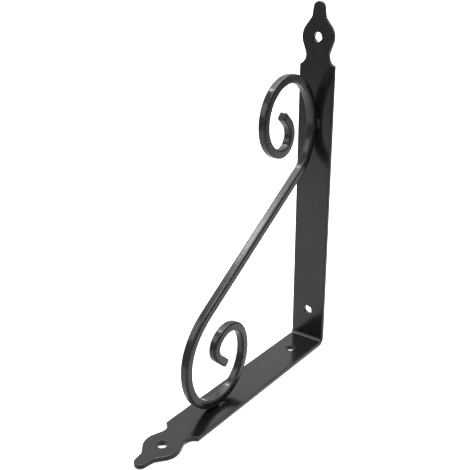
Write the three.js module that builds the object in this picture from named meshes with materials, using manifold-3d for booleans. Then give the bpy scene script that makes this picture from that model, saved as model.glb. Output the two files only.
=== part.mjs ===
// Scroll shelf bracket: a flat steel strip bent square, with a pierced finial on each end, and an
// S-shaped square bar welded between its two legs.
// Millimetres. +Z is up, the wall side is +Y, the shelf leg runs towards -Y, X runs across the strip.
// The origin is under the middle of the bracket, on the plane of the shelf leg's underside.

import * as THREE from 'three';
import { mergeVertices } from 'three/addons/utils/BufferGeometryUtils.js';
import Module from 'manifold-3d';

// Strip
const stripWidth = 25;
const stripThickness = 3;
const wallLegHeight = 235.5;
const shelfLegReach = 180;
const bendInnerRadius = 2.5;

// Finial on each end of the strip, measured from its tip
const tipRadius = 3.9;
const neckHalfWidth = 4.7;
const neckLength = 9.4;
const bulbRadius = 11.3;
const bulbCentre = 21.6;
const waistHalfWidth = 8.2;
const coveRadius = 6;
const coveCentre = 32.8;

// Screw holes: one in the middle of each bulb, one beside the bend in each leg
const screwHoleDiameter = 6.2;
const bendHoleFromOutside = 24.5;

// Scroll bar and its straight diagonal
const barSize = 5.5;
const barCornerRadius = 1.2;
const diagonalAngle = 33.5;
const diagonalLength = 114;

// The curl by the wall leg: its bends from the diagonal's end to the tail, and the degrees they turn
const wallSweepRadius = 34.9;
const wallCrownRadius = 25.5;
const wallBrowRadius = 18.6;
const wallEyeRadius = 10.6;
const wallCurlTurns = [105.5, 136, 76, 147.5];
const wallCurlTail = 7;

// The curl on the shelf leg, in the same way
const shelfSweepRadius = 49.3;
const shelfShoulderRadius = 33.2;
const shelfBaseRadius = 26.5;
const shelfBrowRadius = 14.2;
const shelfEyeRadius = 7.8;
const shelfCurlTurns = [20, 72.5, 166, 125, 80.5];
const shelfCurlTail = 9.6;

// Weld beads in the corners between the bar's sides and the strip, where each curl touches
const weldLength = 6.5;
const weldWidth = 2.8;
const weldHeight = 2.2;

// Clearance between pieces that touch
const seatGap = 0.3;

// Fineness of round forms; an arc in an outline has twice its number of segments
const outlineSegments = 8;
const barCornerSegments = 1;
const holeSegments = 32;
const degreesPerStep = 8;
const reachSamples = 500;
const overcut = 1;

const wallPlane = shelfLegReach / 2;
const shelfTipY = -shelfLegReach / 2;
const axisX = new THREE.Vector3(1, 0, 0);
const axisY = new THREE.Vector3(0, 1, 0);
const axisZ = new THREE.Vector3(0, 0, 1);

const blackPaint = { color: 0x18191a, metalness: 0.1 };
const stripPaint = new THREE.MeshStandardMaterial({ ...blackPaint, roughness: 0.32 });
const barPaint = new THREE.MeshStandardMaterial({ ...blackPaint, roughness: 0.38 });
const weldPaint = new THREE.MeshStandardMaterial({ ...blackPaint, roughness: 0.45 });

const wasm = await Module();
wasm.setup();

function toSolid(geometry) {
  const bare = geometry.clone();
  bare.deleteAttribute('normal');
  bare.deleteAttribute('uv');
  const merged = mergeVertices(bare, 1e-4);
  return new wasm.Manifold(new wasm.Mesh({
    numProp: 3,
    vertProperties: new Float32Array(merged.attributes.position.array),
    triVerts: new Uint32Array(merged.index.array),
  }));
}

function toGeometry(solid) {
  const mesh = solid.getMesh();
  const geometry = new THREE.BufferGeometry();
  geometry.setAttribute('position', new THREE.BufferAttribute(new Float32Array(mesh.vertProperties), 3));
  geometry.setIndex(new THREE.BufferAttribute(new Uint32Array(mesh.triVerts), 1));
  geometry.computeVertexNormals();
  return geometry;
}

// A flat shape made thick: its own x, y and depth run along three world axes from an origin
function plate(shape, depth, [along, up, through], origin) {
  const geometry = new THREE.ExtrudeGeometry(shape, { depth, bevelEnabled: false, curveSegments: outlineSegments });
  geometry.applyMatrix4(new THREE.Matrix4().makeBasis(along, up, through).setPosition(...origin));
  return geometry;
}

// The strip seen from its side: two legs joined by a round bend, in y and z
function stripProfile() {
  const innerY = wallPlane - stripThickness;
  const bendY = innerY - bendInnerRadius;
  const bendZ = stripThickness + bendInnerRadius;
  const profile = new THREE.Shape();
  profile.moveTo(shelfTipY, 0);
  profile.lineTo(bendY, 0);
  profile.absarc(bendY, bendZ, bendInnerRadius + stripThickness, -Math.PI / 2, 0, false);
  profile.lineTo(wallPlane, wallLegHeight);
  profile.lineTo(innerY, wallLegHeight);
  profile.lineTo(innerY, bendZ);
  profile.absarc(bendY, bendZ, bendInnerRadius, 0, -Math.PI / 2, true);
  profile.lineTo(shelfTipY, stripThickness);
  profile.closePath();
  return profile;
}

// Where a straight line from the bulb's circle touches another circle that lies on the line's other
// side, or a point when that circle's radius is 0, as an angle at the bulb's centre
function bulbTangent(centre, radius, hand) {
  const away = centre.clone().sub(new THREE.Vector2(0, bulbCentre));
  const lean = Math.acos(Math.min(1, (bulbRadius + radius) / away.length()));
  return Math.atan2(away.y, away.x) + hand * lean;
}

// One side of the finial as points (half width, distance from the tip), from the tip to the shoulder
function finialSide() {
  const neck = new THREE.Vector2(neckHalfWidth, neckLength);
  const cove = new THREE.Vector2(waistHalfWidth + coveRadius, coveCentre);
  const bulbStart = bulbTangent(neck, 0, 1);
  const bulbEnd = bulbTangent(cove, coveRadius, -1);
  const side = new THREE.Path();
  side.moveTo(0, 0);
  side.absarc(0, tipRadius, tipRadius, -Math.PI / 2, 0, false);
  side.lineTo(neck.x, neck.y);
  side.absarc(0, bulbCentre, bulbRadius, bulbStart, bulbEnd, false);
  side.absarc(cove.x, cove.y, coveRadius, bulbEnd + Math.PI, Math.PI / 2, true);
  return side.getPoints(outlineSegments);
}

// The blank that a leg is cut from: a finial, then a run wider than the strip
function legBlank(length) {
  const side = finialSide();
  const wide = Math.max(stripWidth / 2, side[side.length - 1].x) + overcut;
  const shoulder = side[side.length - 1].y;
  const right = [...side, new THREE.Vector2(wide, shoulder), new THREE.Vector2(wide, length + overcut)];
  const left = right.slice(1).reverse().map((point) => new THREE.Vector2(-point.x, point.y));
  return new THREE.Shape([...right, ...left]);
}

function screwHole(centre, through) {
  const hole = new THREE.CylinderGeometry(
    screwHoleDiameter / 2, screwHoleDiameter / 2, stripThickness + 2 * overcut, holeSegments);
  hole.applyQuaternion(new THREE.Quaternion().setFromUnitVectors(axisY, through));
  hole.translate(...centre);
  return toSolid(hole);
}

function makeStrip() {
  const bent = plate(stripProfile(), stripWidth, [axisY, axisZ, axisX], [-stripWidth / 2, 0, 0]);
  const wallBlank = plate(
    legBlank(wallLegHeight), shelfLegReach + 2 * overcut,
    [axisX, axisZ.clone().negate(), axisY], [0, shelfTipY - overcut, wallLegHeight]);
  const shelfBlank = plate(
    legBlank(shelfLegReach), wallLegHeight + 2 * overcut,
    [axisX, axisY, axisZ], [0, shelfTipY, -overcut]);
  const wallMiddle = wallPlane - stripThickness / 2;
  const shelfMiddle = stripThickness / 2;
  const holes = [
    screwHole([0, wallMiddle, wallLegHeight - bulbCentre], axisY),
    screwHole([0, wallMiddle, bendHoleFromOutside], axisY),
    screwHole([0, shelfTipY + bulbCentre, shelfMiddle], axisZ),
    screwHole([0, wallPlane - bendHoleFromOutside, shelfMiddle], axisZ),
  ];
  let strip = toSolid(bent).intersect(toSolid(wallBlank)).intersect(toSolid(shelfBlank));
  for (const hole of holes) strip = strip.subtract(hole);
  return toGeometry(strip);
}

// A run of the bar's centre line in the y-z plane: straight where radius is Infinity
class Run {
  constructor(start, heading, radius, amount) {
    Object.assign(this, { start, heading, radius, amount });
  }

  headingAt(part) {
    return this.radius === Infinity ? this.heading : this.heading + part * this.amount;
  }

  pointAt(part) {
    if (this.radius === Infinity) {
      const ahead = new THREE.Vector2(Math.cos(this.heading), Math.sin(this.heading));
      return ahead.multiplyScalar(part * this.amount).add(this.start);
    }
    const now = this.headingAt(part);
    const turned = Math.sign(this.amount) * this.radius;
    return new THREE.Vector2(
      this.start.x + turned * (Math.sin(now) - Math.sin(this.heading)),
      this.start.y - turned * (Math.cos(now) - Math.cos(this.heading)));
  }

  steps() {
    if (this.radius === Infinity) return 1;
    return Math.ceil(Math.abs(THREE.MathUtils.radToDeg(this.amount)) / degreesPerStep);
  }
}

// Runs of one curl, from the end of the diagonal to the tip of the tail, always turning left
function curlRuns(start, heading, radii, turns, tail) {
  const runs = [];
  let from = start;
  let facing = heading;
  const add = (radius, amount) => {
    const run = new Run(from, facing, radius, amount);
    runs.push(run);
    from = run.pointAt(1);
    facing = run.headingAt(1);
  };
  radii.forEach((radius, i) => add(radius, THREE.MathUtils.degToRad(turns[i])));
  add(Infinity, tail);
  return runs;
}

// The point where the runs' centre line reaches furthest along a direction
function furthest(runs, direction) {
  let best = runs[0].start;
  for (const run of runs) {
    for (let i = 1; i <= reachSamples; i += 1) {
      const point = run.pointAt(i / reachSamples);
      if (point.dot(direction) > best.dot(direction)) best = point;
    }
  }
  return best;
}

// The whole bar, tail to tail, as one curve whose steps follow its turns
class ScrollLine extends THREE.Curve {
  constructor(runs, shift) {
    super();
    this.runs = runs;
    this.shift = shift;
    this.total = runs.reduce((sum, run) => sum + run.steps(), 0);
  }

  locate(t) {
    let step = t * this.total;
    let index = 0;
    while (index < this.runs.length - 1 && step > this.runs[index].steps()) {
      step -= this.runs[index].steps();
      index += 1;
    }
    return [this.runs[index], step / this.runs[index].steps()];
  }

  getUtoTmapping(u) {
    return u;
  }

  getPoint(t) {
    const [run, part] = this.locate(t);
    const point = run.pointAt(part).add(this.shift);
    return new THREE.Vector3(0, point.x, point.y);
  }

  getTangent(t) {
    const [run, part] = this.locate(t);
    const heading = run.headingAt(part);
    return new THREE.Vector3(0, Math.cos(heading), Math.sin(heading));
  }
}

// The same run walked the other way
function reversed(run) {
  const amount = run.radius === Infinity ? run.amount : -run.amount;
  return new Run(run.pointAt(1), run.headingAt(1) + Math.PI, run.radius, amount);
}

// The bar's centre line, placed so that one curl touches the wall leg and the other the shelf leg
function layScroll() {
  const angle = THREE.MathUtils.degToRad(diagonalAngle);
  const diagonal = new Run(new THREE.Vector2(0, 0), angle, Infinity, diagonalLength);
  const wallRadii = [wallSweepRadius, wallCrownRadius, wallBrowRadius, wallEyeRadius];
  const wallCurl = curlRuns(diagonal.pointAt(1), angle, wallRadii, wallCurlTurns, wallCurlTail);
  const shelfRadii = [shelfSweepRadius, shelfShoulderRadius, shelfBaseRadius, shelfBrowRadius, shelfEyeRadius];
  const shelfCurl = curlRuns(diagonal.start, angle + Math.PI, shelfRadii, shelfCurlTurns, shelfCurlTail);
  const offFace = stripThickness + seatGap + barSize / 2;
  const wallTouch = furthest(wallCurl, new THREE.Vector2(1, 0));
  const shelfTouch = furthest(shelfCurl, new THREE.Vector2(0, -1));
  const shift = new THREE.Vector2(wallPlane - offFace - wallTouch.x, offFace - shelfTouch.y);
  const runs = [...shelfCurl.map(reversed).reverse(), diagonal, ...wallCurl];
  return {
    line: new ScrollLine(runs, shift),
    wallTouchZ: wallTouch.y + shift.y,
    shelfTouchY: shelfTouch.x + shift.x,
  };
}

// A square bar's section with rounded corners
function barSection() {
  const inset = barSize / 2 - barCornerRadius;
  const section = new THREE.Shape();
  section.moveTo(barSize / 2, -inset);
  section.absarc(inset, inset, barCornerRadius, 0, Math.PI / 2, false);
  section.absarc(-inset, inset, barCornerRadius, Math.PI / 2, Math.PI, false);
  section.absarc(-inset, -inset, barCornerRadius, Math.PI, 1.5 * Math.PI, false);
  section.absarc(inset, -inset, barCornerRadius, 1.5 * Math.PI, 2 * Math.PI, false);
  return section;
}

function makeScroll(line) {
  return new THREE.ExtrudeGeometry(barSection(), {
    steps: line.total, extrudePath: line, bevelEnabled: false, curveSegments: barCornerSegments,
  });
}

// A bead that fills the corner between the bar's side and the strip: a quarter of an oval lump.
// side is 1 or -1 across the strip; along and away are the strip's direction and its face's normal
function makeWeld(side, along, away, touch) {
  const lump = new THREE.SphereGeometry(1, 16, 12);
  lump.applyMatrix4(new THREE.Matrix4().makeScale(weldWidth, weldLength / 2, weldHeight));
  const corner = new THREE.BoxGeometry(weldWidth + overcut, weldLength + overcut, weldHeight + overcut);
  corner.translate((weldWidth + overcut) / 2, 0, (weldHeight + overcut) / 2);
  const bead = toGeometry(toSolid(lump).intersect(toSolid(corner)));
  const across = axisX.clone().multiplyScalar(side);
  const run = new THREE.Vector3().crossVectors(away, across);
  bead.applyMatrix4(new THREE.Matrix4().makeBasis(across, run, away));
  bead.translate(...across.multiplyScalar(barSize / 2 + seatGap).add(touch).addScaledVector(away, seatGap));
  return bead;
}

function named(name, geometry, material) {
  const mesh = new THREE.Mesh(geometry, material);
  mesh.name = name;
  return mesh;
}

const { line, wallTouchZ, shelfTouchY } = layScroll();
const wallTouch = new THREE.Vector3(0, wallPlane - stripThickness, wallTouchZ);
const shelfTouch = new THREE.Vector3(0, shelfTouchY, stripThickness);

const bracket = new THREE.Group();
bracket.add(named('bent_strip', makeStrip(), stripPaint));
bracket.add(named('scroll_bar', makeScroll(line), barPaint));
for (const [hand, side] of [['right', 1], ['left', -1]]) {
  bracket.add(named(`wall_weld_${hand}`, makeWeld(side, axisZ, axisY.clone().negate(), wallTouch), weldPaint));
  bracket.add(named(`shelf_weld_${hand}`, makeWeld(side, axisY, axisZ, shelfTouch), weldPaint));
}

export default bracket;
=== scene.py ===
import math

import bpy
from mathutils import Matrix, Vector
from mathutils.geometry import delaunay_2d_cdt


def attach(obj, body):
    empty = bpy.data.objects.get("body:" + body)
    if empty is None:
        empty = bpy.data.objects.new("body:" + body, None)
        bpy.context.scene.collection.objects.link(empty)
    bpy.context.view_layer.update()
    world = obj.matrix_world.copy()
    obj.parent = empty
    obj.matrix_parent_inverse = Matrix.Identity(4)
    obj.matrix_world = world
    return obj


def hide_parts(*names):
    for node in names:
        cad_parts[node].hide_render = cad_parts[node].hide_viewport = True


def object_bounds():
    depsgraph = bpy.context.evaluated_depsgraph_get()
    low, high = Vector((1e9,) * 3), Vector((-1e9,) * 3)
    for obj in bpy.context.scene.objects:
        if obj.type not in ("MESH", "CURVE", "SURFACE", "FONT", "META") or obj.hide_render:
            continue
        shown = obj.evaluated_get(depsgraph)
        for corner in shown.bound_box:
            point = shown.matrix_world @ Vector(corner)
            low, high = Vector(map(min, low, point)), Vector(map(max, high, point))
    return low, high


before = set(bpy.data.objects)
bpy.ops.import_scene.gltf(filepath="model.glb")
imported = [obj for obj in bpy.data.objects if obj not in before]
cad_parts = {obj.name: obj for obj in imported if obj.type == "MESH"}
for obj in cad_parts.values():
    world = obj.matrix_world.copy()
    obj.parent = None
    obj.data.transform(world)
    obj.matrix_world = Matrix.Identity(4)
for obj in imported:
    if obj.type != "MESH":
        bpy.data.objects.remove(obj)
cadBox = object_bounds()
scene = bpy.context.scene
mm = 0.001
print("frame loaded, nodes:", sorted(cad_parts))


# Short ways to fill node trees

def addNode(tree, kind, inputs=None, **settings):
    # an input gets a value of its own, or a link where another node's output is given
    node = tree.nodes.new(kind)
    for name, value in settings.items():
        setattr(node, name, value)
    for name, value in (inputs or {}).items():
        if isinstance(value, bpy.types.NodeSocket):
            tree.links.new(value, node.inputs[name])
        else:
            node.inputs[name].default_value = value
    return node


def mathNode(tree, operation, *values):
    return addNode(tree, "ShaderNodeMath", dict(enumerate(values)), operation=operation).outputs[0]


def ranged(tree, value, low, high, toLow, toHigh):
    node = addNode(tree, "ShaderNodeMapRange", {
        "Value": value, "From Min": low, "From Max": high, "To Min": toLow, "To Max": toHigh})
    return node.outputs["Result"]


def noiseNode(tree, place, scale, detail, roughness=0.5):
    node = addNode(tree, "ShaderNodeTexNoise", {
        "Vector": place, "Scale": scale, "Detail": detail, "Roughness": roughness})
    return node.outputs["Fac"]


def mixColours(tree, factor, first, second):
    # a Mix node's colour sockets are its inputs 6 and 7 and its output 2
    return addNode(tree, "ShaderNodeMix", {0: factor, 6: first, 7: second}, data_type="RGBA").outputs[2]


# Finishes: one black paint, even on the strip, grainy on the drawn bar and duller on the welds

stripFinish = {
    "colour": 0.0062, "wornAndGlint": 0.035, "roughness": 0.17, "roughnessSpread": 0.05, "glint": 0.0,
    "grainScale": 1500, "grainHeight": 2e-6, "waveScale": 55, "waveHeight": 60e-6, "stretch": (1, 1, 1),
}
barFinish = {
    "colour": 0.0065, "wornAndGlint": 0.05, "roughness": 0.14, "roughnessSpread": 0.04, "glint": 0.3,
    "grainScale": 1050, "grainHeight": 45e-6, "waveScale": 160, "waveHeight": 25e-6, "stretch": (0.6, 1, 1),
}
weldFinish = {
    "colour": 0.006, "wornAndGlint": 0.03, "roughness": 0.25, "roughnessSpread": 0.08, "glint": 0.2,
    "grainScale": 1800, "grainHeight": 8e-6, "waveScale": 300, "waveHeight": 30e-6, "stretch": (1, 1, 1),
}
# a mottle in the gloss everywhere, and how much the rubbed patches show and dull the paint; inside the bar's
# tight bends the lighter patches are a painted highlight
paintWearAndGlint = {
    "mottleScale": 70, "mottleRange": (0.3, 0.7), "patchScale": 420, "patchRange": (0.52, 0.66),
    "shows": 0.6, "dulls": 0.1, "leastRoughness": 0.06,
}


def makePaint(name, finish, alongAttribute=None):
    paint = bpy.data.materials.new(name)
    paint.use_nodes = True
    tree = paint.node_tree
    tree.nodes.clear()
    if alongAttribute:
        place = addNode(tree, "ShaderNodeAttribute", attribute_name=alongAttribute).outputs["Vector"]
    else:
        place = addNode(tree, "ShaderNodeTexCoord").outputs["Object"]
    stretched = addNode(tree, "ShaderNodeMapping", {"Vector": place, "Scale": finish["stretch"]})
    mottle = noiseNode(tree, place, paintWearAndGlint["mottleScale"], 4, 0.6)
    grain = noiseNode(tree, stretched.outputs[0], finish["grainScale"], 3, 0.6)
    wave = noiseNode(tree, place, finish["waveScale"], 2)

    # paint rubs thin along the edges, in patches; inside the bar's tight bends the lighter patches are also
    # a painted highlight of the lamp's glint
    edge = addNode(tree, "ShaderNodeAttribute", attribute_name="edge").outputs["Fac"]
    blots = noiseNode(tree, place, paintWearAndGlint["patchScale"], 3, 0.65)
    wearAndGlint = mathNode(tree, "MULTIPLY", edge, ranged(tree, blots, *paintWearAndGlint["patchRange"], 0, 1))
    black, wornAndGlint = finish["colour"], finish["wornAndGlint"]
    shown = mathNode(tree, "MULTIPLY", wearAndGlint, paintWearAndGlint["shows"])
    colour = mixColours(tree, shown, (black, black * 1.02, black * 1.04, 1), (wornAndGlint, wornAndGlint, wornAndGlint * 0.98, 1))

    least = finish["roughness"] - finish["roughnessSpread"]
    most = finish["roughness"] + finish["roughnessSpread"]
    rough = ranged(tree, mottle, *paintWearAndGlint["mottleRange"], least, most)
    grainy = mathNode(tree, "MULTIPLY", mathNode(tree, "SUBTRACT", grain, 0.5), finish["glint"])
    dulled = mathNode(tree, "MULTIPLY", wearAndGlint, paintWearAndGlint["dulls"])
    rough = mathNode(tree, "ADD", rough, mathNode(tree, "ADD", grainy, dulled))
    rough = mathNode(tree, "MAXIMUM", rough, paintWearAndGlint["leastRoughness"])

    waves = addNode(tree, "ShaderNodeBump", {
        "Height": wave, "Strength": 1.0, "Distance": finish["waveHeight"]})
    grains = addNode(tree, "ShaderNodeBump", {
        "Height": grain, "Strength": 1.0, "Distance": finish["grainHeight"], "Normal": waves.outputs[0]})
    shader = addNode(tree, "ShaderNodeBsdfPrincipled", {
        "Base Color": colour, "Metallic": 0.0, "Roughness": rough, "IOR": 1.5, "Normal": grains.outputs[0]})
    addNode(tree, "ShaderNodeOutputMaterial", {"Surface": shader.outputs[0]})
    return paint


stripPaint = makePaint("stripPaint", stripFinish)
barPaint = makePaint("barPaint", barFinish, "alongBar")
weldPaint = makePaint("weldPaint", weldFinish)
print("paints made")


# Strip: cut flat with a finial on each end, then bent square to fill the CAD box

boxWidth, boxDepth, boxHeight = [round((high - low) / mm, 3) for low, high in zip(*cadBox)]
stripSizes = {
    "width": boxWidth, "shelfReach": boxDepth, "wallHeight": boxHeight,
    "thickness": 3, "bendInnerRadius": 2.5,
    "tipRadius": 3.9, "neckHalfWidth": 4.7, "neckLength": 9.4, "bulbRadius": 11.3, "bulbCentre": 21.6,
    "waistHalfWidth": 8.2, "coveRadius": 6, "coveCentre": 32.8,
    "holeDiameter": 6.2, "bendHoleFromOutside": 24.5, "holeSteps": 56,
    "edgeRadius": 0.6, "holeEdgeRadius": 0.3, "edgeSteps": 5, "edgeSupport": 0.15,
    "outlineStep": 0.3, "softening": 6, "finialLength": 44, "bendRows": 14,
}


def arcPoints(centre, radius, start, end, step):
    count = max(2, math.ceil(abs(end - start) * radius / step))
    angles = [start + (end - start) * i / count for i in range(count + 1)]
    return [(centre[0] + radius * math.cos(a), centre[1] + radius * math.sin(a)) for a in angles]


def evenly(points, step):
    lengths = [math.dist(a, b) for a, b in zip(points, points[1:])]
    total = sum(lengths)
    count = round(total / step)
    result = [points[0]]
    index, walked = 0, 0.0
    for i in range(1, count):
        target = total * i / count
        while walked + lengths[index] < target:
            walked += lengths[index]
            index += 1
        part = (target - walked) / lengths[index]
        result.append(tuple(a + (b - a) * part for a, b in zip(points[index], points[index + 1])))
    return result + [points[-1]]


def finialChain(sizes):
    # from the left edge round the tip and up the right edge, as (x, distance from the tip)
    tip, bulb = sizes["tipRadius"], (0, sizes["bulbCentre"])
    neck = (sizes["neckHalfWidth"], sizes["neckLength"])
    cove = (sizes["waistHalfWidth"] + sizes["coveRadius"], sizes["coveCentre"])
    step, halfWidth = sizes["outlineStep"], sizes["width"] / 2

    def bulbTangent(centre, radius, hand):
        awayX, awayY = centre[0] - bulb[0], centre[1] - bulb[1]
        lean = math.acos(min(1.0, (sizes["bulbRadius"] + radius) / math.hypot(awayX, awayY)))
        return math.atan2(awayY, awayX) + hand * lean

    bulbStart = bulbTangent(neck, 0, 1)
    bulbEnd = bulbTangent(cove, sizes["coveRadius"], -1)
    coveEnd = math.acos((halfWidth - cove[0]) / sizes["coveRadius"])
    side = arcPoints((0, tip), tip, -math.pi / 2, 0, step) + [neck]
    side += arcPoints(bulb, sizes["bulbRadius"], bulbStart, bulbEnd, step)
    side += arcPoints(cove, sizes["coveRadius"], bulbEnd + math.pi, coveEnd, step)
    side.append((halfWidth, sizes["finialLength"]))
    chain = evenly([(-x, v) for x, v in reversed(side[1:])] + side, step)
    for _ in range(sizes["softening"]):  # punched and painted corners are a little round
        near = zip(chain, chain[1:], chain[2:])
        middle = [tuple((a + 2 * b + c) / 4 for a, b, c in zip(*three)) for three in near]
        chain = [chain[0]] + middle + [chain[-1]]
    return chain


def edgeRings(sizes, radius):
    # a rounded edge from the upper face to the lower: how far in from the outline, how high, and
    # whether it is on the rounding
    half = sizes["thickness"] / 2
    upper = [(radius + sizes["edgeSupport"], half, 0.0)]
    for i in range(sizes["edgeSteps"] + 1):
        turn = math.pi / 2 * i / sizes["edgeSteps"]
        upper.append((radius * (1 - math.sin(turn)), half - radius * (1 - math.cos(turn)), float(i > 0)))
    return upper + [(inset, -height, edge) for inset, height, edge in reversed(upper)]


def wallsAround(loops):
    # the rounded walls round each loop, and as rims the pairs of points where the flat faces start
    points, edgeness, faces, rims = [], [], [], []
    for loop, rings in loops:
        count = len(loop)
        before = [loop[i - 1] for i in range(count)]
        after = [loop[(i + 1) % count] for i in range(count)]
        outward = [Vector((b[1] - a[1], a[0] - b[0])).normalized() for a, b in zip(before, after)]
        first = len(points)
        for inset, height, edge in rings:
            for (x, along), out in zip(loop, outward):
                points.append((x - out.x * inset, along - out.y * inset, height))
                edgeness.append(edge)
        for ring in range(len(rings) - 1):
            upper, lower = first + ring * count, first + (ring + 1) * count
            for i in range(count):
                j = (i + 1) % count
                faces.append((upper + i, lower + i, lower + j, upper + j))
        rims.append([(first + i, len(points) - count + i) for i in range(count)])
    return points, edgeness, faces, rims


def flatFaces(points, rims, rowEdges, inHole):
    # triangles between the rims, on the upper and the lower face
    pairs = [pair for rim in rims for pair in rim]
    places = [Vector(points[upper][:2]) for upper, _ in pairs]
    edges = []
    for rim in rims:
        start = len(edges)
        edges += [(start + i, start + (i + 1) % len(rim)) for i in range(len(rim))]
    found = delaunay_2d_cdt(places, edges + rowEdges, [list(range(len(rims[0])))], 1, 1e-5)
    triangles, sources = found[2], [ids[0] for ids in found[3]]
    faces = []
    for triangle in triangles:
        a, b, c = [sources[i] for i in triangle]
        if not inHole((places[a] + places[b] + places[c]) / 3):
            faces.append((pairs[a][0], pairs[b][0], pairs[c][0]))
            faces.append((pairs[c][1], pairs[b][1], pairs[a][1]))
    return faces


def makeStrip(sizes):
    # lengths along the strip's middle, from the shelf leg's tip
    middleRadius = sizes["bendInnerRadius"] + sizes["thickness"] / 2
    setback = sizes["thickness"] + sizes["bendInnerRadius"]
    shelfStraight = sizes["shelfReach"] - setback
    bendLength = middleRadius * math.pi / 2
    flatLength = shelfStraight + bendLength + sizes["wallHeight"] - setback

    halfWidth, holeRadius = sizes["width"] / 2, sizes["holeDiameter"] / 2
    finial = finialChain(sizes)
    rows = [shelfStraight + bendLength * i / sizes["bendRows"] for i in range(sizes["bendRows"] + 1)]
    outline = finial + [(halfWidth, v) for v in rows]
    outline += [(-x, flatLength - v) for x, v in finial] + [(-halfWidth, v) for v in reversed(rows)]
    rowEdges = [(len(finial) + i, len(outline) - 1 - i) for i in range(len(rows))]
    shelfHoles = [sizes["bulbCentre"], sizes["shelfReach"] - sizes["bendHoleFromOutside"]]
    wallBendHole = shelfStraight + bendLength + sizes["bendHoleFromOutside"] - setback
    holes = shelfHoles + [wallBendHole, flatLength - sizes["bulbCentre"]]

    loops = [(outline, edgeRings(sizes, sizes["edgeRadius"]))]
    holeStep = math.pi * sizes["holeDiameter"] / sizes["holeSteps"]
    for centre in holes:
        ring = arcPoints((0, centre), holeRadius, 2 * math.pi, 0, holeStep)[:-1]
        loops.append((ring, edgeRings(sizes, sizes["holeEdgeRadius"])))

    def inHole(place):
        return any((place - Vector((0, centre))).length < holeRadius for centre in holes)

    def bent(x, along, height):
        angle = min(max((along - shelfStraight) / middleRadius, 0), math.pi / 2)
        before = min(along, shelfStraight)
        beyond = max(along - shelfStraight - bendLength, 0)
        reach = middleRadius - height
        y = -sizes["shelfReach"] / 2 + before + reach * math.sin(angle)
        z = setback - reach * math.cos(angle) + beyond
        return Vector((x, y, z)) * mm

    points, edgeness, faces, rims = wallsAround(loops)
    faces += flatFaces(points, rims, rowEdges, inHole)
    mesh = bpy.data.meshes.new("strip")
    mesh.from_pydata([bent(*p) for p in points], [], faces)
    mesh.validate()
    mesh.shade_smooth()
    mesh.attributes.new("edge", "FLOAT", "POINT").data.foreach_set("value", edgeness)
    mesh.materials.append(stripPaint)
    strip = bpy.data.objects.new("bentStrip", mesh)
    scene.collection.objects.link(strip)
    return strip


strip = makeStrip(stripSizes)
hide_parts("bent_strip")
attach(strip, "root")
print("strip bent:", len(strip.data.polygons), "faces")


# Scroll bar: its line is laid in the corner here, and the tree sweeps and forges the bar along it

scrollSizes = {
    "barSize": 5.5, "cornerRadius": 1.2, "diagonalAngle": 33.5, "diagonalLength": 114,
    # radius and degrees of each bend, outwards from the diagonal, and the straight tail after them
    "wallBends": [(34.9, 105.5), (25.5, 136), (18.6, 76), (10.6, 147.5)], "wallTail": 7,
    "shelfBends": [(49.3, 20), (33.2, 72.5), (26.5, 166), (14.2, 125), (7.8, 80.5)], "shelfTail": 9.6,
    "seatGap": 0.3, "step": 1.0, "turnSmoothing": 5, "reachStep": 0.02,
    # distance from a cut end, and the share of the bar's full thickness there
    "tailRounding": [(0, 0.3), (0.01, 0.55), (0.03, 0.76), (0.12, 0.89), (0.35, 0.965), (0.8, 1.0)],
    "tailRough": 3.5, "cornerSteps": 5, "swell": 0.2, "wobble": 0.035, "wobbleScale": 110.0,
    "shearRoughness": 0.5, "shearScale": 700.0, "formerMarks": 0.25, "marksFrom": 0.1, "marksTo": 0.24,
    "seed": 3.7,
}


def tailSteps(length, step, rounding):
    # even steps, then the close ones that round the bar's cut end
    close = sorted(length - distance for distance, _ in rounding)
    even = [step * i for i in range(1, int(length / step) + 1)]
    return [d for d in even if d < close[0] - step / 3] + close


def curlPoints(sizes, curl, start, heading, step):
    # the curl's bends and then its tail, from the diagonal outwards and always turning left, as
    # (y, z, bend) with bend = 1 / radius
    y, z = start
    turned = []
    for radius, degrees in sizes[curl + "Bends"]:
        amount = math.radians(degrees)
        count = math.ceil(amount * radius / step)
        centreY, centreZ = y - radius * math.sin(heading), z + radius * math.cos(heading)
        for i in range(1, count + 1):
            now = heading + amount * i / count
            turned.append((centreY + radius * math.sin(now), centreZ - radius * math.cos(now), 1 / radius))
        heading += amount
        y, z = turned[-1][:2]
    ahead = (math.cos(heading), math.sin(heading))
    distances = tailSteps(sizes[curl + "Tail"], step, sizes["tailRounding"])
    return turned, [(y + ahead[0] * d, z + ahead[1] * d, 0) for d in distances]


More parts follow.
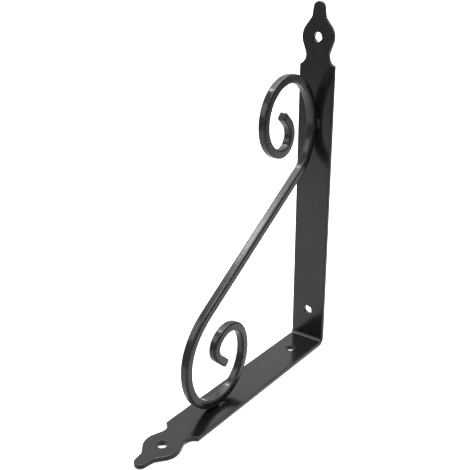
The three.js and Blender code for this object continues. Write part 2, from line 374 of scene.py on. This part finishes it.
def layScroll(sizes):
    angle = math.radians(sizes["diagonalAngle"])
    length = sizes["diagonalLength"]
    end = (length * math.cos(angle), length * math.sin(angle))

    def bothCurls(step):
        wall = curlPoints(sizes, "wall", end, angle, step)
        shelf = curlPoints(sizes, "shelf", (0, 0), angle + math.pi, step)
        return wall, shelf

    # the curls' outermost points, found in fine steps, set the bar's place between the two legs
    wallFine, shelfFine = bothCurls(sizes["reachStep"])
    offFace = stripSizes["thickness"] + sizes["seatGap"] + sizes["barSize"] / 2
    wallPlane = stripSizes["shelfReach"] / 2
    wallTouch = max(wallFine[0], key=lambda p: p[0])
    shelfTouch = min(shelfFine[0], key=lambda p: p[1])
    shiftY, shiftZ = wallPlane - offFace - wallTouch[0], offFace - shelfTouch[1]

    (wallCurl, wallTail), (shelfCurl, shelfTail) = bothCurls(sizes["step"])
    count = round(length / sizes["step"])
    diagonal = [(end[0] * i / count, end[1] * i / count, 0) for i in range(count + 1)]
    shelfSide = [(y, z, -bend) for y, z, bend in reversed(shelfCurl + shelfTail)]
    line = shelfSide + diagonal + wallCurl + wallTail
    places = [Vector((0, y + shiftY, z + shiftZ)) for y, z, _ in line]

    # where one bend runs into the next, its effect on the bar sets in gradually
    reach = sizes["turnSmoothing"]
    sharp = [bend for _, _, bend in line]
    windows = [sharp[max(0, i - reach):i + reach + 1] for i in range(len(sharp))]
    bends = [sum(window) / len(window) for window in windows]
    return places, bends, wallTouch[1] + shiftZ, shelfTouch[0] + shiftY


def nearTails(places, sizes):
    # how thick the bar is at each point, and how near a cut end
    lengths = [(b - a).length for a, b in zip(places, places[1:])]
    walked = [sum(lengths[:i]) for i in range(len(places))]
    thick, rough = [], []
    for distance in walked:
        toEnd = min(distance, walked[-1] - distance)
        shares = [share for start, share in sizes["tailRounding"] if start <= toEnd + 1e-4]
        thick.append(shares[-1])
        rough.append(max(0.0, 1 - toEnd / sizes["tailRough"]))
    return thick, rough


def newTree(name, sockets):
    tree = bpy.data.node_groups.new(name, "GeometryNodeTree")
    tree.interface.new_socket(name="Geometry", in_out="INPUT", socket_type="NodeSocketGeometry")
    tree.interface.new_socket(name="Geometry", in_out="OUTPUT", socket_type="NodeSocketGeometry")
    for socketName, kind in sockets.items():
        tree.interface.new_socket(name=socketName, in_out="INPUT", socket_type="NodeSocket" + kind)
    return tree, addNode(tree, "NodeGroupInput").outputs


def finishTree(tree, geometry, paint):
    smooth = addNode(tree, "GeometryNodeSetShadeSmooth", {"Geometry": geometry})
    realized = addNode(tree, "GeometryNodeRealizeInstances", {"Geometry": smooth.outputs[0]})
    painted = addNode(tree, "GeometryNodeSetMaterial", {"Geometry": realized.outputs[0], "Material": paint})
    addNode(tree, "NodeGroupOutput", {"Geometry": painted.outputs[0]})
    return tree


def named(tree, name, kind="FLOAT"):
    return addNode(tree, "GeometryNodeInputNamedAttribute", {"Name": name}, data_type=kind).outputs[0]


def stored(tree, geometry, name, value, kind="FLOAT"):
    node = addNode(tree, "GeometryNodeStoreNamedAttribute", {
        "Geometry": geometry, "Name": name, "Value": value}, data_type=kind, domain="POINT")
    return node.outputs[0]


def moved(tree, geometry, offset):
    return addNode(tree, "GeometryNodeSetPosition", {"Geometry": geometry, "Offset": offset}).outputs[0]


def scaled(tree, vector, amount):
    return addNode(tree, "ShaderNodeVectorMath", {0: vector, "Scale": amount}, operation="SCALE").outputs[0]


def seededPlace(tree, seed):
    # each point's place, shifted so that another seed meets another part of the noise
    place = addNode(tree, "GeometryNodeInputPosition").outputs[0]
    shift = addNode(tree, "ShaderNodeCombineXYZ", {0: seed}).outputs[0]
    return addNode(tree, "ShaderNodeVectorMath", {0: place, 1: shift}, operation="ADD").outputs[0]


def makeScrollTree():
    tree, given = newTree("scrollBarTree", {
        "Bar Size": "Float", "Corner Radius": "Float", "Corner Steps": "Int", "Swell": "Float",
        "Wobble": "Float", "Wobble Scale": "Float", "Shear Roughness": "Float", "Shear Scale": "Float",
        "Former Marks": "Float", "Marks From": "Float", "Marks To": "Float", "Seed": "Float",
        "Paint": "Material"})

    # the line, standing on its edge so that the section never twists
    line = addNode(tree, "GeometryNodeMeshToCurve", {"Mesh": given["Geometry"]})
    upright = addNode(tree, "GeometryNodeSetCurveNormal", {
        "Curve": line.outputs[0], "Normal": (1, 0, 0)}, mode="FREE")
    distance = addNode(tree, "GeometryNodeSplineParameter").outputs["Length"]
    path = stored(tree, upright.outputs[0], "alongLine", distance)

    # the section: a square with round corners, whose support points must stay clear of them
    square = addNode(tree, "GeometryNodeCurvePrimitiveQuadrilateral", {
        "Width": given["Bar Size"], "Height": given["Bar Size"]}, mode="RECTANGLE")
    supported = addNode(tree, "GeometryNodeSubdivideCurve", {"Curve": square.outputs[0], "Cuts": 3})
    rounded = addNode(tree, "GeometryNodeFilletCurve", {
        "Curve": supported.outputs[0], "Radius": given["Corner Radius"], "Count": given["Corner Steps"]},
        mode="POLY")
    position = addNode(tree, "GeometryNodeInputPosition").outputs[0]
    section = stored(tree, rounded.outputs[0], "section", position, "FLOAT_VECTOR")

    sweep = addNode(tree, "GeometryNodeCurveToMesh", {
        "Curve": path, "Profile Curve": section, "Scale": named(tree, "thick"), "Fill Caps": True})
    # the fillet leaves several points on each support point, so they are made one again
    single = addNode(tree, "GeometryNodeMergeByDistance", {
        "Geometry": sweep.outputs[0], "Distance": 0.001 * mm})

    # bending squeezes the inner side wider and draws the outer side narrower
    place = addNode(tree, "ShaderNodeSeparateXYZ", {0: named(tree, "section", "FLOAT_VECTOR")})
    across = place.outputs[0]
    inward = mathNode(tree, "MULTIPLY", place.outputs[1], -1)
    squeeze = mathNode(tree, "MULTIPLY", named(tree, "bend"), inward)
    widening = mathNode(tree, "MULTIPLY", across, mathNode(tree, "MULTIPLY", squeeze, given["Swell"]))
    sideways = addNode(tree, "ShaderNodeCombineXYZ", {0: widening})
    swollen = moved(tree, single.outputs[0], sideways.outputs[0])

    # a slight wobble of the faces, and lumps where the ends were sheared and tight bends met the former
    where = seededPlace(tree, given["Seed"])
    slow = noiseNode(tree, where, given["Wobble Scale"], 1)
    fast = noiseNode(tree, where, given["Shear Scale"], 2)
    wobble = mathNode(tree, "MULTIPLY", mathNode(tree, "SUBTRACT", slow, 0.5), given["Wobble"])
    lumps = mathNode(tree, "MULTIPLY", mathNode(tree, "SUBTRACT", fast, 0.55), given["Shear Roughness"])
    # the insides of tight bends: lumps in the surface, and a lighter paint that is a painted highlight of
    # the lamp's glint
    rubbedAndGlint = ranged(tree, squeeze, given["Marks From"], given["Marks To"], 0, 1)
    marked = mathNode(tree, "MULTIPLY", rubbedAndGlint, given["Former Marks"])
    lumps = mathNode(tree, "MULTIPLY", lumps, mathNode(tree, "MAXIMUM", marked, named(tree, "tail")))
    outward = addNode(tree, "GeometryNodeInputNormal").outputs["Normal"]
    forged = moved(tree, swollen, scaled(tree, outward, mathNode(tree, "ADD", wobble, lumps)))

    # what the paint reads: place along and across the bar, and where it is rubbed; the insides of tight
    # bends get the lighter paint as a painted highlight
    barPlace = addNode(tree, "ShaderNodeCombineXYZ", {0: named(tree, "alongLine"), 1: across, 2: inward})
    measured = stored(tree, forged, "alongBar", barPlace.outputs[0], "FLOAT_VECTOR")
    half = mathNode(tree, "MULTIPLY", given["Bar Size"], 0.5)
    flat = mathNode(tree, "SUBTRACT", half, given["Corner Radius"])
    least = mathNode(tree, "MINIMUM", mathNode(tree, "ABSOLUTE", across), mathNode(tree, "ABSOLUTE", inward))
    corner = mathNode(tree, "GREATER_THAN", least, flat)
    wornAndGlint = mathNode(tree, "MAXIMUM", corner, mathNode(tree, "MAXIMUM", named(tree, "tail"), rubbedAndGlint))
    return finishTree(tree, stored(tree, measured, "edge", wornAndGlint), given["Paint"])


def grownFrom(seedMesh, tree, values, name, placing=None):
    # runs the tree on the seed mesh and keeps the result as a plain mesh
    seed = bpy.data.objects.new(name + "Seed", seedMesh)
    scene.collection.objects.link(seed)
    modifier = seed.modifiers.new(name, "NODES")
    modifier.node_group = tree
    for item in tree.interface.items_tree:
        if item.item_type == "SOCKET" and item.in_out == "INPUT" and item.name in values:
            modifier[item.identifier] = values[item.name]
    graph = bpy.context.evaluated_depsgraph_get()
    grown = seed.evaluated_get(graph)
    mesh = bpy.data.meshes.new_from_object(grown, preserve_all_data_layers=True, depsgraph=graph)
    seed.modifiers.clear()
    bpy.data.objects.remove(seed)
    if placing:
        mesh.transform(placing)
    mesh.name = name
    piece = bpy.data.objects.new(name, mesh)
    scene.collection.objects.link(piece)
    return piece


places, bends, wallTouchZ, shelfTouchY = layScroll(scrollSizes)
thick, rough = nearTails(places, scrollSizes)
lineMesh = bpy.data.meshes.new("scrollLine")
lineMesh.from_pydata([p * mm for p in places], [(i, i + 1) for i in range(len(places) - 1)], [])
for attributeName, numbers in (("bend", [b / mm for b in bends]), ("thick", thick), ("tail", rough)):
    lineMesh.attributes.new(attributeName, "FLOAT", "POINT").data.foreach_set("value", numbers)
scroll = grownFrom(lineMesh, makeScrollTree(), {
    "Bar Size": scrollSizes["barSize"] * mm, "Corner Radius": scrollSizes["cornerRadius"] * mm,
    "Corner Steps": scrollSizes["cornerSteps"], "Swell": scrollSizes["swell"],
    "Wobble": scrollSizes["wobble"] * mm, "Wobble Scale": scrollSizes["wobbleScale"],
    "Shear Roughness": scrollSizes["shearRoughness"] * mm, "Shear Scale": scrollSizes["shearScale"],
    "Former Marks": scrollSizes["formerMarks"], "Marks From": scrollSizes["marksFrom"],
    "Marks To": scrollSizes["marksTo"], "Seed": scrollSizes["seed"], "Paint": barPaint,
}, "scrollBar")
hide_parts("scroll_bar")
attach(scroll, "root")
print("scroll bar forged:", len(scroll.data.polygons), "faces")


# Weld beads: a short row of overlapping drops in each corner between the bar and the strip

weldSizes = {
    "length": 6.0, "drops": 6, "dropRadius": 1.35, "dropSpread": 0.3, "intoStrip": 0.35, "offBar": 0.55,
    # the least and greatest share of the drop radius
    "smallestDrop": 0.78, "largestDrop": 1.08,
    "voxel": 0.16, "lumps": 0.25, "lumpScale": 500.0, "seed": 12,
}


def makeWeldTree():
    tree, given = newTree("weldBeadTree", {
        "Length": "Float", "Drops": "Int", "Drop Radius": "Float", "Smallest Drop": "Float",
        "Largest Drop": "Float", "Drop Spread": "Float", "Voxel": "Float", "Lumps": "Float",
        "Lump Scale": "Float", "Seed": "Int", "Paint": "Material"})

    # the drops' middles, in a row that wanders a little
    start = addNode(tree, "ShaderNodeCombineXYZ", {1: mathNode(tree, "MULTIPLY", given["Length"], -0.5)})
    end = addNode(tree, "ShaderNodeCombineXYZ", {1: mathNode(tree, "MULTIPLY", given["Length"], 0.5)})
    row = addNode(tree, "GeometryNodeMeshLine", {
        "Count": given["Drops"], "Start Location": start.outputs[0], "Offset": end.outputs[0]},
        mode="END_POINTS")
    scatter = addNode(tree, "FunctionNodeRandomValue", {
        0: (-1, -1, -1), 1: (1, 1, 1), "Seed": given["Seed"]}, data_type="FLOAT_VECTOR")
    spots = moved(tree, row.outputs[0], scaled(tree, scatter.outputs[0], given["Drop Spread"]))

    # a ball of its own size on each
    share = addNode(tree, "FunctionNodeRandomValue", {
        2: given["Smallest Drop"], 3: given["Largest Drop"], "Seed": given["Seed"]}, data_type="FLOAT")
    radius = mathNode(tree, "MULTIPLY", share.outputs[1], given["Drop Radius"])
    drops = addNode(tree, "GeometryNodeMeshToPoints", {"Mesh": spots, "Radius": radius})
    kept = named(tree, "radius")
    size = addNode(tree, "ShaderNodeCombineXYZ", {0: kept, 1: kept, 2: kept})
    ball = addNode(tree, "GeometryNodeMeshIcoSphere", {"Radius": 1.0, "Subdivisions": 3})
    balls = addNode(tree, "GeometryNodeInstanceOnPoints", {
        "Points": drops.outputs[0], "Instance": ball.outputs[0], "Scale": size.outputs[0]})
    joined = addNode(tree, "GeometryNodeRealizeInstances", {"Geometry": balls.outputs[0]})

    # all run together under one skin, which is a little lumpy
    band = mathNode(tree, "MULTIPLY", given["Voxel"], 3)
    cloud = addNode(tree, "GeometryNodeMeshToVolume", {
        "Mesh": joined.outputs[0], "Voxel Size": given["Voxel"], "Interior Band Width": band},
        resolution_mode="VOXEL_SIZE")
    skin = addNode(tree, "GeometryNodeVolumeToMesh", {
        "Volume": cloud.outputs[0], "Voxel Size": given["Voxel"], "Threshold": 0.1, "Adaptivity": 0.0},
        resolution_mode="VOXEL_SIZE")
    bumps = noiseNode(tree, seededPlace(tree, given["Seed"]), given["Lump Scale"], 2)
    lift = mathNode(tree, "MULTIPLY", mathNode(tree, "SUBTRACT", bumps, 0.5), given["Lumps"])
    outward = addNode(tree, "GeometryNodeInputNormal").outputs["Normal"]
    rippled = moved(tree, skin.outputs[0], scaled(tree, outward, lift))
    return finishTree(tree, rippled, given["Paint"])


def weldPlacing(side, away, touch, sizes):
    # bead's own axes: x away from the bar's side, y along the strip, z off the strip's face
    across = Vector((side, 0, 0))
    run = away.cross(across)
    corner = touch + across * (scrollSizes["barSize"] / 2 + sizes["offBar"]) + away * sizes["intoStrip"]
    turned = Matrix((across, run, away)).transposed().to_4x4()
    return Matrix.Translation(corner * mm) @ turned


weldTree = makeWeldTree()
wallFaceY = stripSizes["shelfReach"] / 2 - stripSizes["thickness"]
seats = [
    ("wall", Vector((0, -1, 0)), Vector((0, wallFaceY, wallTouchZ))),
    ("shelf", Vector((0, 0, 1)), Vector((0, shelfTouchY, stripSizes["thickness"]))),
]
weldSeed = weldSizes["seed"]
for seatName, away, touch in seats:
    for hand, side in (("right", 1), ("left", -1)):
        bead = grownFrom(bpy.data.meshes.new("beadSeed"), weldTree, {
            "Length": (weldSizes["length"] - 2 * weldSizes["dropRadius"]) * mm, "Drops": weldSizes["drops"],
            "Drop Radius": weldSizes["dropRadius"] * mm, "Smallest Drop": weldSizes["smallestDrop"],
            "Largest Drop": weldSizes["largestDrop"], "Drop Spread": weldSizes["dropSpread"] * mm,
            "Voxel": weldSizes["voxel"] * mm, "Lumps": weldSizes["lumps"] * mm,
            "Lump Scale": weldSizes["lumpScale"], "Seed": weldSeed, "Paint": weldPaint,
        }, f"{seatName}Weld{hand.capitalize()}", weldPlacing(side, away, touch, weldSizes))
        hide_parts(f"{seatName}_weld_{hand}")
        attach(bead, "root")
        print(bead.name, "laid:", len(bead.data.polygons), "faces")
        weldSeed += 1


# Studio: white table, pale surroundings and two soft boxes on the left

studio = {
    "tableSize": 24.0, "tableDrop": 0.0002, "tableTone": 0.9, "tableRoughness": 0.9, "tableGlow": 0.5,
    # brightness by height, -1 straight down to 1 straight up, behind the bracket and in front of it
    "farSky": [(-1, 1.3), (-0.34, 1.25), (-0.21, 0.75), (-0.1, 0.3), (0, 0.45), (0.17, 0.85), (0.39, 1.1),
               (0.57, 1.2), (0.62, 0.95), (0.69, 1.9), (0.8, 3.0), (1, 5.5)],
    "nearSky": [(-1, 1.25), (-0.6, 1.12), (-0.36, 1.27), (-0.28, 1.05), (-0.21, 0.6), (-0.1, 0.26), (0, 0.5),
                (0.39, 0.5), (0.58, 0.85), (0.77, 0.75), (0.84, 1.0), (1, 5.5)],
    "farEndsAt": 0.05, "nearStartsAt": -0.2,
    # direction, the two closenesses to it between which the dark sets in, and what is left there
    "darkSides": [((0.9, 0.3, 0.3), 0.62, 0.85, 0.3), ((0.5, 0.2, -0.85), 0.85, 0.93, 0.55),
                  ((0.45, -0.6, -0.65), 0.55, 0.8, 0.55)],
    # name, place, size and brightness of the soft boxes
    "boxes": [("highBox", (-0.859, -0.046, 1.47), 0.14, 16.0), ("lowBox", (-0.27, -0.28, 0.374), 0.2, 1.7)],
    "boxesAimAt": (0, 0, 0.12),
}


def makeTable():
    half, tone = studio["tableSize"] / 2, studio["tableTone"]
    mesh = bpy.data.meshes.new("table")
    corners = [(-half, -half), (half, -half), (half, half), (-half, half)]
    mesh.from_pydata([(x, y, -studio["tableDrop"]) for x, y in corners], [], [(0, 1, 2, 3)])
    white = bpy.data.materials.new("tableWhite")
    white.use_nodes = True
    shader = white.node_tree.nodes["Principled BSDF"]
    shader.inputs["Base Color"].default_value = (tone, tone, tone, 1)
    shader.inputs["Roughness"].default_value = studio["tableRoughness"]
    shader.inputs["Emission Color"].default_value = (1, 1, 1, 1)
    shader.inputs["Emission Strength"].default_value = studio["tableGlow"]
    mesh.materials.append(white)
    table = bpy.data.objects.new("table", mesh)
    scene.collection.objects.link(table)
    table.visible_glossy = False


def makeSurroundings():
    world = bpy.data.worlds.new("studioWorld")
    world.use_nodes = True
    scene.world = world
    tree = world.node_tree
    tree.nodes.clear()
    direction = addNode(tree, "ShaderNodeTexCoord").outputs["Generated"]
    parts = addNode(tree, "ShaderNodeSeparateXYZ", {0: direction}).outputs

    def sky(levels):
        stops = addNode(tree, "ShaderNodeValToRGB", {"Fac": ranged(tree, parts[2], -1, 1, 0, 1)})
        ramp = stops.color_ramp.elements
        while len(ramp) < len(levels):
            ramp.new(0.5)
        for element, (up, level) in zip(ramp, levels):
            element.position = (up + 1) / 2
            element.color = (level, level, level, 1)
        return stops.outputs["Color"]

    nearness = ranged(tree, parts[1], studio["farEndsAt"], studio["nearStartsAt"], 0, 1)
    colour = mixColours(tree, nearness, sky(studio["farSky"]), sky(studio["nearSky"]))
    # the room is dark beyond the table's right side, and the table greyer there
    strength = 1.0
    for towards, start, full, left in studio["darkSides"]:
        facing = addNode(tree, "ShaderNodeVectorMath", {
            0: direction, 1: Vector(towards).normalized()}, operation="DOT_PRODUCT")
        dark = ranged(tree, facing.outputs["Value"], start, full, 1, left)
        strength = mathNode(tree, "MINIMUM", strength, dark)

    # the camera itself sees plain white
    around = addNode(tree, "ShaderNodeBackground", {"Color": colour, "Strength": strength})
    behind = addNode(tree, "ShaderNodeBackground", {"Color": (1, 1, 1, 1)})
    fromCamera = addNode(tree, "ShaderNodeLightPath").outputs["Is Camera Ray"]
    seen = addNode(tree, "ShaderNodeMixShader", {0: fromCamera, 1: around.outputs[0], 2: behind.outputs[0]})
    addNode(tree, "ShaderNodeOutputWorld", {"Surface": seen.outputs[0]})


def makeSoftBox(name, place, size, brightness):
    light = bpy.data.lights.new(name, "AREA")
    light.shape = "SQUARE"
    light.size = size
    light.energy = brightness * math.pi * size ** 2
    box = bpy.data.objects.new(name, light)
    box.location = place
    box.rotation_euler = (Vector(place) - Vector(studio["boxesAimAt"])).to_track_quat("Z", "Y").to_euler()
    scene.collection.objects.link(box)


makeTable()
makeSurroundings()
for box in studio["boxes"]:
    makeSoftBox(*box)
scene.view_settings.view_transform = "Standard"
scene.view_settings.look = "None"
print("studio set")


# Camera: a little higher than the wall leg, off the right front corner

cameraSettings = {
    "location": (0.24148, -0.3188, 0.26713), "azimuth": 37.04, "elevation": 21.52, "roll": -0.207,
    "lens": 56.27, "sensorWidth": 36, "nearest": 0.01,
}


def makeCamera():
    data = bpy.data.cameras.new("camera")
    data.lens = cameraSettings["lens"]
    data.sensor_width = cameraSettings["sensorWidth"]
    data.clip_start = cameraSettings["nearest"]
    camera = bpy.data.objects.new("camera", data)
    azimuth, elevation, roll = [math.radians(cameraSettings[k]) for k in ("azimuth", "elevation", "roll")]
    level = math.cos(elevation)
    back = Vector((math.sin(azimuth) * level, -math.cos(azimuth) * level, math.sin(elevation)))
    right = Vector((math.cos(azimuth), math.sin(azimuth), 0))
    up = back.cross(right)
    tiltedRight = math.cos(roll) * right + math.sin(roll) * up
    tiltedUp = math.cos(roll) * up - math.sin(roll) * right
    turned = Matrix((tiltedRight, tiltedUp, back)).transposed().to_4x4()
    camera.matrix_world = Matrix.Translation(cameraSettings["location"]) @ turned
    scene.collection.objects.link(camera)
    scene.camera = camera


makeCamera()
print("camera placed")
